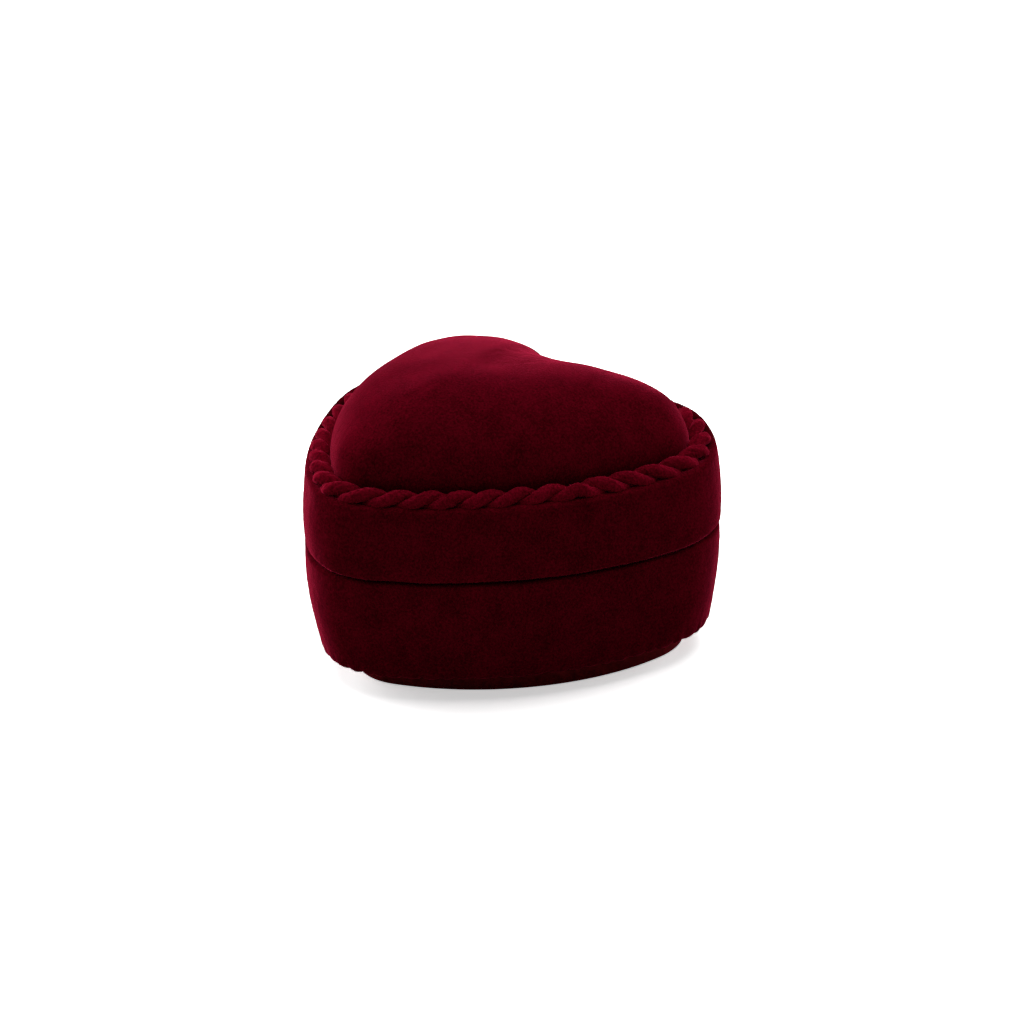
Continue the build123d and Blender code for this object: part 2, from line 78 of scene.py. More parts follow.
def heart_arcs(inset, scale, tip_back=0.0, side_fuller=0.0):
    """Centre, radius and end angles of the heart's seven tangent arcs, from tip to tip.

    Each side arc holds a lobe arc and the tip arc inside it, and the cleft arc touches both
    lobes from outside. An inset moves every arc in by the same amount. A scale under one draws
    the outline towards the crown's middle and eases its cleft. A tip drawn back is blunter, and
    a fuller side is more strongly curved.
    """
    lobe_radius = (LOBE_RADIUS - inset) * scale
    tip_radius = (TIP_RADIUS - inset) * scale
    side_radius = (SIDE_RADIUS - inset - side_fuller) * scale
    cleft_radius = (CLEFT_RADIUS + inset) * scale + CLEFT_EASE * (1 - scale)
    lobe_x = LOBE_SPACING / 2 * scale
    lobe_y = CROWN_Y + (LOBE_Y - CROWN_Y) * scale
    tip_y = CROWN_Y + (LOBE_Y - TIP_SETBACK + tip_back - CROWN_Y) * scale
    span = np.hypot(lobe_x, tip_y - lobe_y)
    to_lobe = side_radius - lobe_radius
    to_tip = side_radius - tip_radius
    along = (to_lobe**2 - to_tip**2 + span**2) / (2 * span)
    across = np.sqrt(to_lobe**2 - along**2)
    side_x = lobe_x + (-lobe_x * along + (tip_y - lobe_y) * across) / span
    side_y = lobe_y + ((tip_y - lobe_y) * along + lobe_x * across) / span
    cleft_y = lobe_y + np.sqrt((lobe_radius + cleft_radius) ** 2 - lobe_x**2)
    tip_end = np.arctan2(tip_y - side_y, -side_x)
    side_end = np.arctan2(lobe_y - side_y, lobe_x - side_x)
    lobe_end = np.arctan2(cleft_y - lobe_y, -lobe_x)
    right = [
        (0 * lobe_x, tip_y, tip_radius, -np.pi / 2, tip_end),
        (side_x, side_y, side_radius, tip_end, side_end),
        (lobe_x, lobe_y, lobe_radius, side_end, lobe_end),
    ]
    cleft = (0 * lobe_x, cleft_y, cleft_radius, lobe_end - np.pi, -lobe_end)
    left = [(-x, y, radius, np.pi - end, np.pi - start) for x, y, radius, start, end in right]
    return [*right, cleft, *left[::-1]]


ARC_POINTS = [
    max(2, round(float(radius * abs(end - start)) / GRID))
    for _, _, radius, start, end in heart_arcs(0.0, 1.0)
]


def heart_outline(inset=0.0, scale=1.0, **form):
    """Points round the heart, rows x columns x 2, one row for each inset or scale.

    On each arc a point is the centre plus the radius times (cosine, sine), at even angles.
    """
    inset, scale = np.broadcast_arrays(np.atleast_1d(inset), np.atleast_1d(scale))
    inset = inset[:, None].astype(float)
    scale = scale[:, None].astype(float)
    stretches = []
    for (x, y, radius, start, end), count in zip(heart_arcs(inset, scale, **form), ARC_POINTS):
        angle = start + (end - start) * np.arange(count) / count
        stretches.append(np.stack([x + radius * np.cos(angle), y + radius * np.sin(angle)], -1))
    return np.concatenate(stretches, axis=1)


OUTLINE = heart_outline()[0]
COLUMNS = len(OUTLINE)
STEPS = np.linalg.norm(np.roll(OUTLINE, -1, axis=0) - OUTLINE, axis=1)
GIRTH = STEPS.sum()
ROUND = np.concatenate([[0], np.cumsum(STEPS)[:-1]])


def run_along(path):
    """Length along a path from its first point to each of its points."""
    return np.concatenate([[0], np.cumsum(np.linalg.norm(np.diff(path, axis=0), axis=1))])


def points_at(places, path):
    """Points of a flat path at some lengths along it, on straight runs between its points."""
    length = run_along(path)
    return np.stack([np.interp(places, length, path[:, axis]) for axis in (0, 1)], 1)


def rounded(corners, spacing=GRID):
    """Path of inset and height through corners (inset, height, radius), stepped evenly.

    Runs are straight. At a corner an arc of its radius touches both runs: it turns between the
    two touching points about a centre on the corner's bisector.
    """
    points = [np.array([corners[0][:2]], float)]
    for before, corner, after in zip(corners, corners[1:], corners[2:]):
        place = np.array(corner[:2], float)
        back = np.array(before[:2]) - place
        ahead = np.array(after[:2]) - place
        back = back / np.linalg.norm(back)
        ahead = ahead / np.linalg.norm(ahead)
        half = np.arccos(np.clip(back @ ahead, -1, 1)) / 2
        radius = corner[2]
        if radius == 0 or np.cos(half) < 1e-6:
            points.append(place[None])
            continue
        bisector = (back + ahead) / np.linalg.norm(back + ahead)
        centre = place + bisector * radius / np.sin(half)
        first = (place + back * radius / np.tan(half) - centre) / radius
        last = (place + ahead * radius / np.tan(half) - centre) / radius
        turn = np.pi - 2 * half
        share = np.linspace(0, 1, CORNER_POINTS)[:, None]
        swing = (np.sin((1 - share) * turn) * first + np.sin(share * turn) * last) / np.sin(turn)
        points.append(centre + radius * swing)
    points.append(np.array([corners[-1][:2]], float))
    path = np.concatenate(points)
    total = run_along(path)[-1]
    return points_at(np.linspace(0, total, max(2, round(total / spacing) + 1)), path)


def carried(profile, scale=1.0, **form):
    """Grid of a profile of inset and height carried round the heart: each row is one outline."""
    flat = heart_outline(profile[:, 0], scale, **form)
    height = np.broadcast_to(profile[:, 1, None, None], (*flat.shape[:2], 1))
    return np.concatenate([flat, height], axis=2)


def placed(name, data):
    """A new object with that data, in the scene."""
    piece = bpy.data.objects.new(name, data)
    bpy.context.scene.collection.objects.link(piece)
    return piece


def surface(name, grid, rings=False, poles=False):
    """Object from a grid of points in millimetres, rows x columns x 3.

    Columns close on themselves, and with rings rows do too. With poles the first and last rows
    close on their middles. Rows that climb the outside give faces that point outwards.
    The UV map counts millimetres along the columns and rows.
    """
    rows, columns = grid.shape[:2]
    points = grid.reshape(-1, 3)
    row = np.arange(rows if rings else rows - 1)[:, None]
    column = np.arange(columns)[None]
    after = (column + 1) % columns
    above = (row + 1) % rows
    corners = [row * columns + column, row * columns + after]
    corners += [above * columns + after, above * columns + column]
    faces = np.stack(np.broadcast_arrays(*corners), -1).reshape(-1, 4).tolist()
    along = np.linalg.norm(np.diff(grid, axis=1, append=grid[:, :1]), axis=2).mean(0)
    up = np.linalg.norm(np.diff(grid, axis=0, append=grid[:1]), axis=2).mean(1)
    u = np.concatenate([[0], np.cumsum(along)])
    v = np.concatenate([[0], np.cumsum(up)])
    sides = [(column, row), (column + 1, row), (column + 1, row + 1), (column, row + 1)]
    uv = [np.stack(np.broadcast_arrays(u[c], v[r]), -1) for c, r in sides]
    uv = np.stack(uv, -2).reshape(-1, 2)
    if poles:
        ends = np.stack([grid[0].mean(0), grid[-1].mean(0)])
        points = np.concatenate([points, ends])
        first, last = rows * columns, rows * columns + 1
        ring = np.arange(columns)
        ahead = (ring + 1) % columns
        top = (rows - 1) * columns
        low_fan = np.stack([ahead, ring, np.full(columns, first)], 1)
        high_fan = np.stack([top + ring, top + ahead, np.full(columns, last)], 1)
        faces += low_fan.tolist() + high_fan.tolist()
        fan_uv = np.stack([u[ring + 1], u[ring], u[ring]], 1)
        low_uv = np.stack([fan_uv, np.zeros_like(fan_uv)], -1)
        high_uv = np.stack([fan_uv[:, [1, 0, 2]], np.full_like(fan_uv, v[rows - 1])], -1)
        uv = np.concatenate([uv, low_uv.reshape(-1, 2), high_uv.reshape(-1, 2)])
    mesh = bpy.data.meshes.new(name)
    mesh.from_pydata((points * MM).tolist(), [], faces)
    layer = mesh.uv_layers.new(name="cloth_mm")
    layer.data.foreach_set("uv", uv.astype(np.float32).ravel())
    mesh.polygons.foreach_set("use_smooth", np.ones(len(mesh.polygons), bool))
    mesh.validate()
    return placed(name, mesh)


def normals(grid):
    """Outward unit normals of a grid whose columns run all the way round."""
    along = np.roll(grid, -1, axis=1) - np.roll(grid, 1, axis=1)
    up = np.gradient(grid, axis=0)
    outward = np.cross(along, up)
    return outward / np.maximum(np.linalg.norm(outward, axis=2, keepdims=True), 1e-9)


def soft_noise(shape, passes, seed):
    """Seeded noise of unit spread: each point is averaged with its neighbours, pass by pass."""
    noise = np.random.default_rng(seed).standard_normal(shape)
    for _ in range(passes):
        for axis in (0, 1):
            noise = (np.roll(noise, 1, axis) + 2 * noise + np.roll(noise, -1, axis)) / 4
    return noise / noise.std()


def new_material(name):
    """A new node material, its node tree and its Principled shader."""
    material = bpy.data.materials.new(name)
    material.use_nodes = True
    return material, material.node_tree, material.node_tree.nodes["Principled BSDF"]


def tune(node, **settings):
    """Sets up a node. A setting names a property of the node, or else one of its inputs."""
    for key, value in settings.items():
        if hasattr(node, key):
            setattr(node, key, value)
        else:
            node.inputs[key.replace("_", " ")].default_value = value
    return node


def add(tree, kind, **settings):
    """A new node of that kind, set up."""
    return tune(tree.nodes.new(kind), **settings)


def wire(tree, *pairs):
    """Links each pair of an output and an input."""
    for output, target in pairs:
        tree.links.new(output, target)


def ramp(tree, low, high, dark, light):
    """A colour ramp from dark to light between two values of its input."""
    node = tree.nodes.new("ShaderNodeValToRGB")
    ends = node.color_ramp.elements
    ends[0].position, ends[1].position = low, high
    ends[0].color, ends[1].color = dark, light
    return node


def weave_group():
    """Plain weave on the cloth's own UV map: sine threads both ways, each over and under."""
    group = bpy.data.node_groups.new("plain_weave", "ShaderNodeTree")
    group.interface.new_socket("Threads per mm", in_out="INPUT", socket_type="NodeSocketFloat")
    group.interface.new_socket("Weave", in_out="OUTPUT", socket_type="NodeSocketFloat")
    source = group.nodes.new("NodeGroupInput")
    result = group.nodes.new("NodeGroupOutput")
    cloth = add(group, "ShaderNodeUVMap", uv_map="cloth_mm")
    scaled = add(group, "ShaderNodeVectorMath", operation="SCALE")
    parts = add(group, "ShaderNodeSeparateXYZ")
    warp = add(group, "ShaderNodeMath", operation="SINE")
    weft = add(group, "ShaderNodeMath", operation="SINE")
    both = add(group, "ShaderNodeMath", operation="MULTIPLY")
    shifted = add(group, "ShaderNodeMath", operation="MULTIPLY_ADD")
    shifted.inputs[1].default_value = 0.5
    shifted.inputs[2].default_value = 0.5
    wire(
        group,
        (cloth.outputs["UV"], scaled.inputs[0]),
        (source.outputs["Threads per mm"], scaled.inputs["Scale"]),
        (scaled.outputs["Vector"], parts.inputs[0]),
        (parts.outputs["X"], warp.inputs[0]),
        (parts.outputs["Y"], weft.inputs[0]),
        (warp.outputs[0], both.inputs[0]),
        (weft.outputs[0], both.inputs[1]),
        (both.outputs[0], shifted.inputs[0]),
        (shifted.outputs[0], result.inputs["Weave"]),
    )
    return group


PLAIN_WEAVE = weave_group()


def foot_cotton():
    """Dark dyed cotton, a fine plain weave of uneven tone, painted lighter to offset its shade."""
    material, tree, shader = new_material("foot_cotton")
    weave = add(tree, "ShaderNodeGroup", node_tree=PLAIN_WEAVE, Threads_per_mm=FOOT_THREADS)
    place = add(tree, "ShaderNodeTexCoord")
    foot_mottle = add(tree, "ShaderNodeTexNoise", Scale=900.0, Detail=3.0)
    tone = ramp(tree, low=0.25, high=0.8, dark=FOOT_DARK_WITH_PAINTED_LIGHT, light=FOOT_PALE_WITH_PAINTED_LIGHT)
    mixed = add(tree, "ShaderNodeMath", operation="MULTIPLY")
    bump = add(tree, "ShaderNodeBump", Strength=0.4, Distance=0.00004)
    wire(
        tree,
        (place.outputs["Object"], foot_mottle.inputs["Vector"]),
        (foot_mottle.outputs["Fac"], mixed.inputs[0]),
        (weave.outputs["Weave"], mixed.inputs[1]),
        (foot_mottle.outputs["Fac"], tone.inputs[0]),
        (tone.outputs["Color"], shader.inputs["Base Color"]),
        (mixed.outputs[0], bump.inputs["Height"]),
        (bump.outputs["Normal"], shader.inputs["Normal"]),
    )
    tune(shader, Roughness=0.95, Specular_IOR_Level=0.02, Sheen_Weight=0.12, Sheen_Tint=FOOT_SHEEN)
    return material


def flat_rows(inset, height, scales):
    """Rows of a flat heart plate: the outline at one inset drawn towards its middle."""
    profile = np.column_stack([np.full(len(scales), inset), np.full(len(scales), height)])
    return carried(profile, scales, **FOOT_FORM)


foot_side = rounded([
    (FOOT_FLAT, 0, 0),
    (FOOT_INSET, 0, FOOT_EDGE),
    (FOOT_INSET, FOOT_TOP, FOOT_TOP_ROUND),
    (FOOT_INSET + FOOT_CLOTH, FOOT_TOP, 0),
    (FOOT_INSET + FOOT_CLOTH, FOOT_CLOTH, 0),
    (FOOT_FLAT, FOOT_CLOTH, 0),
])
foot_wall = carried(foot_side, **FOOT_FORM)
pucker = soft_noise(foot_wall.shape[:2], PUCKER_PASSES, seed=3) * FOOT_PUCKER
pucker *= np.clip(foot_side[:, 1] / FOOT_TOP, 0, 1)[:, None]
foot_wall = foot_wall + normals(foot_wall) * pucker[..., None]
foot_grid = np.concatenate([
    flat_rows(FOOT_FLAT, 0, PLATE_SCALES),
    foot_wall,
    flat_rows(FOOT_FLAT, FOOT_CLOTH, PLATE_SCALES[::-1]),
])
foot = surface("foot_cloth_cover", foot_grid, poles=True)
foot.data.materials.append(foot_cotton())
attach(foot, "base")
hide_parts("foot_cover")


# Boards
# Grey millboard is cut to the heart for the foot, for the filler under the cup and for the
# plate that carries the ring pads. The boards are glued in flat.
BOARD_DARK = (0.16, 0.13, 0.10, 1)
BOARD_LIGHT = (0.32, 0.27, 0.21, 1)


def grained(name, tones, noise, relief, roughness, stretch=(1, 1, 1)):
    """A matt finish: one noise, stretched where there are fibres, sets its tone and relief."""
    material, tree, shader = new_material(name)
    place = add(tree, "ShaderNodeTexCoord")
    stretched = add(tree, "ShaderNodeMapping", Scale=stretch)
    grain = add(tree, "ShaderNodeTexNoise", **noise)
    tone = ramp(tree, **tones)
    bump = add(tree, "ShaderNodeBump", **relief)
    wire(
        tree,
        (place.outputs["Object"], stretched.inputs["Vector"]),
        (stretched.outputs["Vector"], grain.inputs["Vector"]),
        (grain.outputs["Fac"], tone.inputs[0]),
        (tone.outputs["Color"], shader.inputs["Base Color"]),
        (grain.outputs["Fac"], bump.inputs["Height"]),
        (bump.outputs["Normal"], shader.inputs["Normal"]),
    )
    tune(shader, Roughness=roughness)
    return material


def finish_nodes(material, *names):
    """Gives a finish to construction pieces that show as they are."""
    for name in names:
        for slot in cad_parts[name].material_slots:
            slot.material = material


MILLBOARD = grained(
    "millboard",
    tones={"low": 0.3, "high": 0.72, "dark": BOARD_DARK, "light": BOARD_LIGHT},
    noise={"Scale": 700.0, "Detail": 6.0, "Roughness": 0.7},
    relief={"Strength": 0.3, "Distance": 0.00005},
    roughness=0.92,
    stretch=(1, 3, 1),
)
finish_nodes(MILLBOARD, "foot_board", "base_filler_card", "ring_pad_board")


# Moulded cup and cap
# The base and the lid are each moulded in one piece of dark plastic, with a block inside the
# cleft for the hinge. Cloth hides them, apart from the blocks behind the hinge leaves.
MOULDING_DARK = (0.010, 0.004, 0.005, 1)
MOULDING_LIGHT = (0.022, 0.008, 0.010, 1)
MOULDED_PLASTIC = grained(
    "moulded_plastic",
    tones={"low": 0.35, "high": 0.7, "dark": MOULDING_DARK, "light": MOULDING_LIGHT},
    noise={"Scale": 5000.0, "Detail": 2.0},
    relief={"Strength": 0.2, "Distance": 0.00003},
    roughness=0.5,
)
finish_nodes(MOULDED_PLASTIC, "base_shell", "lid_shell")


# Base velvet
# One strip of burgundy velvet is stretched round the cup, turned in over the rim and gathered
# under the bottom, where the small tucks of the gathering puff out above the foot.
VELVET = 0.7
SHELL_WALL = 1.6
INNER_WALL = VELVET + SHELL_WALL
RIM_INSET = 0.1
RIM_WIDTH = INNER_WALL + VELVET
RIM_ROUND = 0.55
TURN_IN = 4.0
TURN_UNDER = 6.5
UNDER_FLAT = 3.0
UNDER_STEP = 1.0
BASE_TUCK = 1.9
BASE_BELLY = 0.45
BASE_CORNER = 1.3
BASE_FOOT_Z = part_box("base_velvet")[0].z / MM
BASE_RIM_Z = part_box("base_velvet")[1].z / MM
WALL_POINTS = 12
TURN_POINTS = 4
ROW_STEP = 0.34
HIDDEN_STEP = 1.5
HIDDEN_ROWS = 8
TUCK_WIDTH = 2.6
TUCK_DROP = 0.3
TUCK_PUFF = 0.16
TUCK_REACH = 1.7
TUCK_UNEVEN = 0.28
TUCK_POWER = 0.8
PILE_DEPTH = 0.013
HAND_LAY = 0.05
LAY_WAVES = 24
LAY_SHORTEST = 5.0
LAY_LONGEST = 16.0
NOTCH_GAP = 0.15
NOTCH_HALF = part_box("hinge_leaf_base")[1].x / MM + NOTCH_GAP
SEAT_HALF = 5.9
SPRING_CLEAR = 0.35
SPRING_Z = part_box("snap_spring")[1].z / MM - SPRING_CLEAR
TUFT_SHARE = 2.4
PILE_LOW = 1.32
PILE_HIGH = 2.08
# VELVET_LIT is partly painted light: the pile mixes it in as a fine speckle of painted glints on
# the pile tips, and as broad patches of painted sheen where the nap lies over.
VELVET_DEEP = (0.046, 0.0004, 0.0025, 1)
VELVET_LIT = (0.130, 0.0011, 0.0080, 1)
VELVET_SHEEN = (1.0, 0.042, 0.125, 1)


def base_inset(height, offset=0.0):
    """Inset of the base's side: a parabola through its rim, its belly and its tucked foot."""
    share = (np.asarray(height) - BASE_FOOT_Z) / (BASE_RIM_Z - BASE_FOOT_Z)
    foot_part = BASE_TUCK * (1 - share) * (1 - 2 * share)
    belly_part = BASE_BELLY * 4 * share * (1 - share)
    rim_part = RIM_INSET * share * (2 * share - 1)
    return foot_part + belly_part + rim_part + offset


def wall_corners(inset_at, heights, offset=0.0):
    """Corners without rounding that follow a curved wall through some heights."""
    return [(float(inset_at(height, offset)), height, 0) for height in heights]


def velvet_pile_group():
    """Short upright pile: dark, with painted glints on tufts and painted sheen where nap lies
    over.
    """
    group = bpy.data.node_groups.new("velvet_pile", "ShaderNodeTree")
    for name in ("Deep", "Lit"):
        group.interface.new_socket(name, in_out="INPUT", socket_type="NodeSocketColor")
    group.interface.new_socket("Color", in_out="OUTPUT", socket_type="NodeSocketColor")
    group.interface.new_socket("Height", in_out="OUTPUT", socket_type="NodeSocketFloat")
    source = group.nodes.new("NodeGroupInput")
    result = group.nodes.new("NodeGroupOutput")
    place = add(group, "ShaderNodeTexCoord")
    tufts = add(group, "ShaderNodeTexNoise", Scale=3200.0, Detail=3.0, Roughness=0.65)
    nap = add(group, "ShaderNodeTexNoise", Scale=260.0, Detail=4.0, Roughness=0.6)
    share = add(group, "ShaderNodeMath", operation="MULTIPLY_ADD")
    share.inputs[1].default_value = TUFT_SHARE
    spread = add(group, "ShaderNodeMapRange", From_Min=PILE_LOW, From_Max=PILE_HIGH)
    tone = add(group, "ShaderNodeMix", data_type="RGBA")
    wire(
        group,
        (place.outputs["Object"], tufts.inputs["Vector"]),
        (place.outputs["Object"], nap.inputs["Vector"]),
        (tufts.outputs["Fac"], share.inputs[0]),
        (nap.outputs["Fac"], share.inputs[2]),
        (share.outputs[0], spread.inputs["Value"]),
        (spread.outputs["Result"], tone.inputs["Factor"]),
        (source.outputs["Deep"], tone.inputs["A"]),
        (source.outputs["Lit"], tone.inputs["B"]),
        (tone.outputs["Result"], result.inputs["Color"]),
        (tufts.outputs["Fac"], result.inputs["Height"]),
    )
    return group


VELVET_PILE = velvet_pile_group()


def velvet():
    """Cotton velvet: a dark ground seen head on, and a pale sheen where the pile is grazed."""
    material, tree, shader = new_material("burgundy_velvet")
    pile = add(tree, "ShaderNodeGroup", node_tree=VELVET_PILE, Deep=VELVET_DEEP, Lit=VELVET_LIT)
    bump = add(tree, "ShaderNodeBump", Strength=0.55, Distance=0.00012)
    wire(
        tree,
        (pile.outputs["Color"], shader.inputs["Base Color"]),
        (pile.outputs["Height"], bump.inputs["Height"]),
        (bump.outputs["Normal"], shader.inputs["Normal"]),
    )
    tune(shader, Roughness=0.95, Specular_IOR_Level=0.0)
    tune(shader, Sheen_Weight=1.0, Sheen_Roughness=0.25, Sheen_Tint=VELVET_SHEEN)
    return material


def hand_laid(points, seed):
    """Slow unevenness of cloth laid by hand: a sum of cosines that run in seeded directions."""
    draws = np.random.default_rng(seed)
    courses = draws.standard_normal((LAY_WAVES, 3))
    courses /= np.linalg.norm(courses, axis=1, keepdims=True)
    courses *= 2 * np.pi / draws.uniform(LAY_SHORTEST, LAY_LONGEST, (LAY_WAVES, 1))
    phases = draws.uniform(0, 2 * np.pi, LAY_WAVES)
    return np.cos(points @ courses.T + phases).sum(-1) / np.sqrt(LAY_WAVES / 2)


def napped(grid, shown, seed):
    """The grid with its pile: fine tufts and the slow unevenness of hand-laid cloth.

    Both move points along the normal, weighted by how much each row shows. The tufts fade
    where the columns crowd together.
    """
    spacing = np.linalg.norm(np.roll(grid, -1, axis=1) - grid, axis=2) / GRID
    tufts = soft_noise(grid.shape[:2], 1, seed) * PILE_DEPTH * np.minimum(spacing, 1) ** 4
    lay = hand_laid(grid, seed + 1) * HAND_LAY
    return grid + normals(grid) * ((tufts + lay) * shown[:, None])[..., None]


def tucks(width, seed):
    """Gathering round the outline, from 0 in a crease to 1 on a puff, uneven in width.

    Each puff is an arch of a sine to a low power, so that creases are narrow.
    """
    count = round(GIRTH / width)
    edges = np.random.default_rng(seed).uniform(-TUCK_UNEVEN, TUCK_UNEVEN, count)
    edges = edges + np.arange(count)
    phase = np.interp(ROUND / GIRTH * count, edges, np.arange(count), period=count)
    return np.abs(np.sin(np.pi * phase)) ** TUCK_POWER


def notched(grid, level, half, above):
    """The grid pressed down below a hinge tongue, or up above it, across the cleft's middle."""
    through = (np.abs(grid[..., 0]) < half) & (grid[..., 1] > 0)
    pressed = np.maximum(grid[..., 2], level) if above else np.minimum(grid[..., 2], level)
    grid[..., 2] = np.where(through, pressed, grid[..., 2])
    return grid


def seated(grid, profile):
    """The grid with its turned-in edge trimmed to the moulded wall beside the hinge block."""
    limit = np.minimum(profile[:, 0], base_inset(profile[:, 1], INNER_WALL))
    trimmed = carried(np.column_stack([limit, profile[:, 1]]))
    beside = (np.abs(grid[..., :1]) < SEAT_HALF) & (grid[..., 1:2] > 0)
    return np.where(beside, trimmed, grid)


under_edge = BASE_TUCK + TURN_UNDER
flat_edge = BASE_TUCK + UNDER_FLAT
belly = np.linspace(BASE_FOOT_Z, BASE_RIM_Z, WALL_POINTS)[1:-1]
turn_in_heights = np.linspace(BASE_RIM_Z, BASE_RIM_Z - TURN_IN, TURN_POINTS)[1:]
base_under = rounded([(under_edge, BASE_FOOT_Z, 0), (flat_edge, BASE_FOOT_Z, 0)], UNDER_STEP)
base_side = rounded(
    [
        (flat_edge, BASE_FOOT_Z, 0),
        (BASE_TUCK, BASE_FOOT_Z, BASE_CORNER),
        *wall_corners(base_inset, belly),
        (RIM_INSET, BASE_RIM_Z, RIM_ROUND),
        (RIM_INSET + RIM_WIDTH, BASE_RIM_Z, RIM_ROUND),
        *wall_corners(base_inset, turn_in_heights, RIM_WIDTH),
    ],
    ROW_STEP,
)
base_inner = rounded(
    [
        *wall_corners(base_inset, turn_in_heights[::-1], INNER_WALL),
        (RIM_INSET + INNER_WALL, BASE_RIM_Z - VELVET, 0),
        (RIM_INSET + VELVET, BASE_RIM_Z - VELVET, 0),
        *wall_corners(base_inset, belly[::-1], VELVET),
        (BASE_TUCK + VELVET, BASE_FOOT_Z + VELVET, 0),
        (under_edge, BASE_FOOT_Z + VELVET, 0),
    ],
    HIDDEN_STEP,
)
base_profile = np.concatenate([base_under[:-1], base_side, base_inner])
base_shown = np.zeros(len(base_profile))
base_shown[len(base_under):len(base_under) + len(base_side) - HIDDEN_ROWS] = 1.0
base_grid = carried(base_profile)
base_grid = napped(base_grid, base_shown, seed=11)
puff = tucks(TUCK_WIDTH, seed=5)
near_foot = np.exp(-(((base_profile[:, 1] - BASE_FOOT_Z) / TUCK_REACH) ** 2))
near_edge = np.exp(-(((base_profile[:, 0] - BASE_TUCK) / TUCK_REACH) ** 2))
gathered = (near_foot * near_edge * base_shown)[:, None] * (puff - 0.5)
base_grid[..., 2] -= gathered * TUCK_DROP
base_grid[..., :2] += normals(base_grid)[..., :2] * (gathered * TUCK_PUFF)[..., None]
base_grid = seated(base_grid, base_profile)
base_grid = notched(base_grid, SPRING_Z, NOTCH_HALF, above=False)
base_velvet = surface("base_velvet_cover", base_grid, rings=True)
BURGUNDY = velvet()
base_velvet.data.materials.append(BURGUNDY)
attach(base_velvet, "base")
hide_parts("base_velvet")


# Ring pads
# Two foam rolls stand on the pad board with the ring slot between them. Each is pulled over
# with velvet that is glued under the board, so that the foam swells it tight.
PAD_VOXEL = 0.55
PAD_SWELL = 0.62
SIM_SCALE = 20.0
SIM_FRAMES = 20
SIM_PRESSURE = 4.0


def swelled(name, points, faces, held, most):
    """How far each point of a cloth skin moves when air presses it out, in millimetres.

    The cloth solver runs on a copy at cushion size, without weight, held where held is true.
    A point moves at most that much.
    """
    mesh = bpy.data.meshes.new(name)
    mesh.from_pydata((points * MM * SIM_SCALE).tolist(), [], faces)
    cloth_piece = placed(name, mesh)
    group = cloth_piece.vertex_groups.new(name="held")
    group.add(np.flatnonzero(held).tolist(), 1.0, "REPLACE")
    cloth = cloth_piece.modifiers.new("cloth", "CLOTH")
    cloth.settings.vertex_group_mass = "held"
    cloth.settings.use_pressure = True
    cloth.settings.uniform_pressure_force = SIM_PRESSURE
    cloth.settings.effector_weights.gravity = 0
    cloth.point_cache.frame_end = SIM_FRAMES
    scene = bpy.context.scene
    for step in range(1, SIM_FRAMES + 1):
        scene.frame_set(step)
    pressed = cloth_piece.evaluated_get(bpy.context.evaluated_depsgraph_get()).to_mesh()
    moved = np.empty(len(points) * 3, np.float32)
    pressed.vertices.foreach_get("co", moved)
    moved = moved.reshape(-1, 3) / (MM * SIM_SCALE) - points
    cloth_piece.to_mesh_clear()
    bpy.data.objects.remove(cloth_piece)
    bpy.data.meshes.remove(mesh)
    scene.frame_set(1)
    reach = np.linalg.norm(moved, axis=1, keepdims=True)
    return moved * np.minimum(1, most / np.maximum(reach, 1e-9))


def remeshed(node, voxel):
    """Points in millimetres and faces of a construction piece, remeshed in even voxels."""
    source = placed("remesh_source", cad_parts[node].data.copy())
    merge = source.modifiers.new("merge", "WELD")
    merge.merge_threshold = 0.01 * MM
    remesh = source.modifiers.new("even", "REMESH")
    remesh.mode = "VOXEL"
    remesh.voxel_size = voxel * MM
    even = source.evaluated_get(bpy.context.evaluated_depsgraph_get()).to_mesh()
    points = np.empty(len(even.vertices) * 3, np.float32)
    even.vertices.foreach_get("co", points)
    faces = [list(polygon.vertices) for polygon in even.polygons]
    source.to_mesh_clear()
    bpy.data.objects.remove(source)
    return points.reshape(-1, 3) / MM, faces


def ring_pad(name, side, material):
    """A velvet-covered roll: its foam, remeshed, swelled by the cloth solver and subdivided."""
    points, faces = remeshed(f"{side}_pad_foam", PAD_VOXEL)
    floor = points[:, 2].min()
    held = points[:, 2] < floor + PAD_VOXEL
    moved = swelled(f"{name}_cloth", points, faces, held, PAD_SWELL)
    mesh = bpy.data.meshes.new(name)
    mesh.from_pydata(((points + moved) * MM).tolist(), [], faces)
    mesh.polygons.foreach_set("use_smooth", np.ones(len(mesh.polygons), bool))
    pad = placed(name, mesh)
    smooth = pad.modifiers.new("rounded", "SMOOTH")
    smooth.factor = 0.5
    smooth.iterations = 2
    divided = pad.modifiers.new("divided", "SUBSURF")
    divided.levels = divided.render_levels = 1
    mesh.materials.append(material)
    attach(pad, "base")
    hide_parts(f"{side}_pad_cover", f"{side}_pad_foam")
    return pad


for pad_side in ("front", "rear"):
    ring_pad(f"{pad_side}_ring_pad", pad_side, BURGUNDY)


